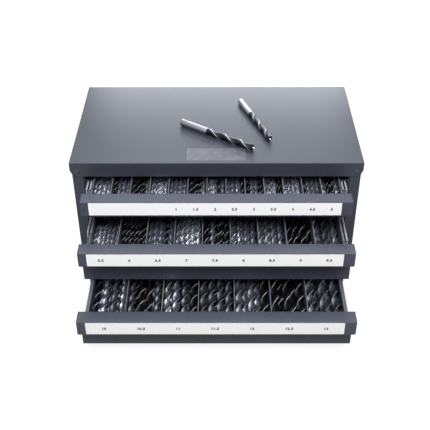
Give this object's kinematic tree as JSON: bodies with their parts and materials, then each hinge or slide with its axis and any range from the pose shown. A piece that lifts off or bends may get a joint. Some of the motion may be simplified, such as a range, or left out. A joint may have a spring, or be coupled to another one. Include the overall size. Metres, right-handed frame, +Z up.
{
  "type": "drill bit drawer case",
  "caption": "Anthracite steel drawer case for drill bits: drawers on telescopic ball slides, folded finger pulls, numbered label strips, divided trays filled with twist bits.",
  "frame": {"origin": "centre of the footprint of the case with its drawers drawn out as at rest, on the surface it stands on", "axes": "+X across the front to the right, +Y to the back, +Z up; the drawers draw out along -Y"},
  "size_m": [0.42, 0.4048, 0.2291],
  "materials": {
    "case_paint": "semi-gloss anthracite powder coat with a fine orange peel",
    "front_paint": "semi-gloss anthracite powder coat",
    "tray_paint": "semi-gloss anthracite powder coat",
    "divider_sheet": "satin grey coat, bright along the top edge",
    "label_card": "white card printed with plain size numbers",
    "zinc_rail": "bright zinc plate",
    "bearing_steel": "polished balls in pressed cages",
    "rivet_metal": "plated rivets, painted over on the case",
    "foot_rubber": "matte",
    "bit_steel": "black oxide flutes with bright ground edges",
    "loose_bit_steel": "bright ground shank, black oxide flutes"
  },
  "bodies": {
    "case": {"lid_cover": "case_paint", "side_panel_left": "case_paint", "slide_carrier_left": "case_paint", "side_panel_right": "case_paint", "slide_carrier_right": "case_paint", "back_panel": "case_paint", "floor_panel": "case_paint", "rubber_feet": "foot_rubber", "blind_rivets": "rivet_metal", "cabinet_rails": "zinc_rail", "cabinet_rail_rivets": "rivet_metal", "loose_bit_large": "loose_bit_steel", "loose_bit_small": "loose_bit_steel"},
    "top_drawer": {"tray_top": "tray_paint", "drawer_front_top": "front_paint", "label_strip_top": "label_card", "dividers_top": "divider_sheet", "drawer_rails_top": "zinc_rail", "drawer_rail_rivets_top": "rivet_metal", "bits_top_5_0": "bit_steel"},
    "top_mid_rail_left": {"intermediate_rail_top_left": "zinc_rail", "ball_rows_top_left": "bearing_steel"},
    "top_mid_rail_right": {"intermediate_rail_top_right": "zinc_rail", "ball_rows_top_right": "bearing_steel"},
    "middle_drawer": {"tray_middle": "tray_paint", "drawer_front_middle": "front_paint", "label_strip_middle": "label_card", "dividers_middle": "divider_sheet", "drawer_rails_middle": "zinc_rail", "drawer_rail_rivets_middle": "rivet_metal", "bits_middle_5_5": "bit_steel", "bits_middle_6_0": "bit_steel", "bits_middle_6_5": "bit_steel", "bits_middle_7_0": "bit_steel", "bits_middle_7_5": "bit_steel", "bits_middle_8_0": "bit_steel", "bits_middle_8_5": "bit_steel", "bits_middle_9_0": "bit_steel", "bits_middle_9_5": "bit_steel"},
    "middle_mid_rail_left": {"intermediate_rail_middle_left": "zinc_rail", "ball_rows_middle_left": "bearing_steel"},
    "middle_mid_rail_right": {"intermediate_rail_middle_right": "zinc_rail", "ball_rows_middle_right": "bearing_steel"},
    "bottom_drawer": {"tray_bottom": "tray_paint", "drawer_front_bottom": "front_paint", "label_strip_bottom": "label_card", "dividers_bottom": "divider_sheet", "drawer_rails_bottom": "zinc_rail", "drawer_rail_rivets_bottom": "rivet_metal", "bits_bottom_10_0": "bit_steel", "bits_bottom_10_5": "bit_steel", "bits_bottom_11_0": "bit_steel", "bits_bottom_11_5": "bit_steel", "bits_bottom_12_0": "bit_steel", "bits_bottom_12_5": "bit_steel", "bits_bottom_13_0": "bit_steel"},
    "bottom_mid_rail_left": {"intermediate_rail_bottom_left": "zinc_rail", "ball_rows_bottom_left": "bearing_steel"},
    "bottom_mid_rail_right": {"intermediate_rail_bottom_right": "zinc_rail", "ball_rows_bottom_right": "bearing_steel"}
  },
  "joints": [
    {"name": "top_drawer_slide", "type": "slide", "parent": "case", "child": "top_drawer", "axis": [0, -1, 0], "range_m": [-0.0378, 0.1622]},
    {"name": "middle_drawer_slide", "type": "slide", "parent": "case", "child": "middle_drawer", "axis": [0, -1, 0], "range_m": [-0.094, 0.106]},
    {"name": "bottom_drawer_slide", "type": "slide", "parent": "case", "child": "bottom_drawer", "axis": [0, -1, 0], "range_m": [-0.1562, 0.0438]},
    {"name": "top_mid_rail_left_slide", "type": "slide", "parent": "case", "child": "top_mid_rail_left", "axis": [0, -1, 0], "range_m": [-0.0194, 0.0816]},
    {"name": "top_mid_rail_right_slide", "type": "slide", "parent": "case", "child": "top_mid_rail_right", "axis": [0, -1, 0], "range_m": [-0.0194, 0.0816]},
    {"name": "middle_mid_rail_left_slide", "type": "slide", "parent": "case", "child": "middle_mid_rail_left", "axis": [0, -1, 0], "range_m": [-0.0475, 0.0535]},
    {"name": "middle_mid_rail_right_slide", "type": "slide", "parent": "case", "child": "middle_mid_rail_right", "axis": [0, -1, 0], "range_m": [-0.0663, 0.0747]},
    {"name": "bottom_mid_rail_left_slide", "type": "slide", "parent": "case", "child": "bottom_mid_rail_left", "axis": [0, -1, 0], "range_m": [-0.06923, 0.01977]},
    {"name": "bottom_mid_rail_right_slide", "type": "slide", "parent": "case", "child": "bottom_mid_rail_right", "axis": [0, -1, 0], "range_m": [-0.06923, 0.01977]}
  ],
  "couplings": [
    {"joint": "top_mid_rail_left_slide", "follows": "top_drawer_slide", "ratio": 0.5},
    {"joint": "top_mid_rail_right_slide", "follows": "top_drawer_slide", "ratio": 0.5},
    {"joint": "middle_mid_rail_left_slide", "follows": "middle_drawer_slide", "ratio": 0.5},
    {"joint": "middle_mid_rail_right_slide", "follows": "middle_drawer_slide", "ratio": 0.7},
    {"joint": "bottom_mid_rail_left_slide", "follows": "bottom_drawer_slide", "ratio": 0.44},
    {"joint": "bottom_mid_rail_right_slide", "follows": "bottom_drawer_slide", "ratio": 0.44}
  ]
}
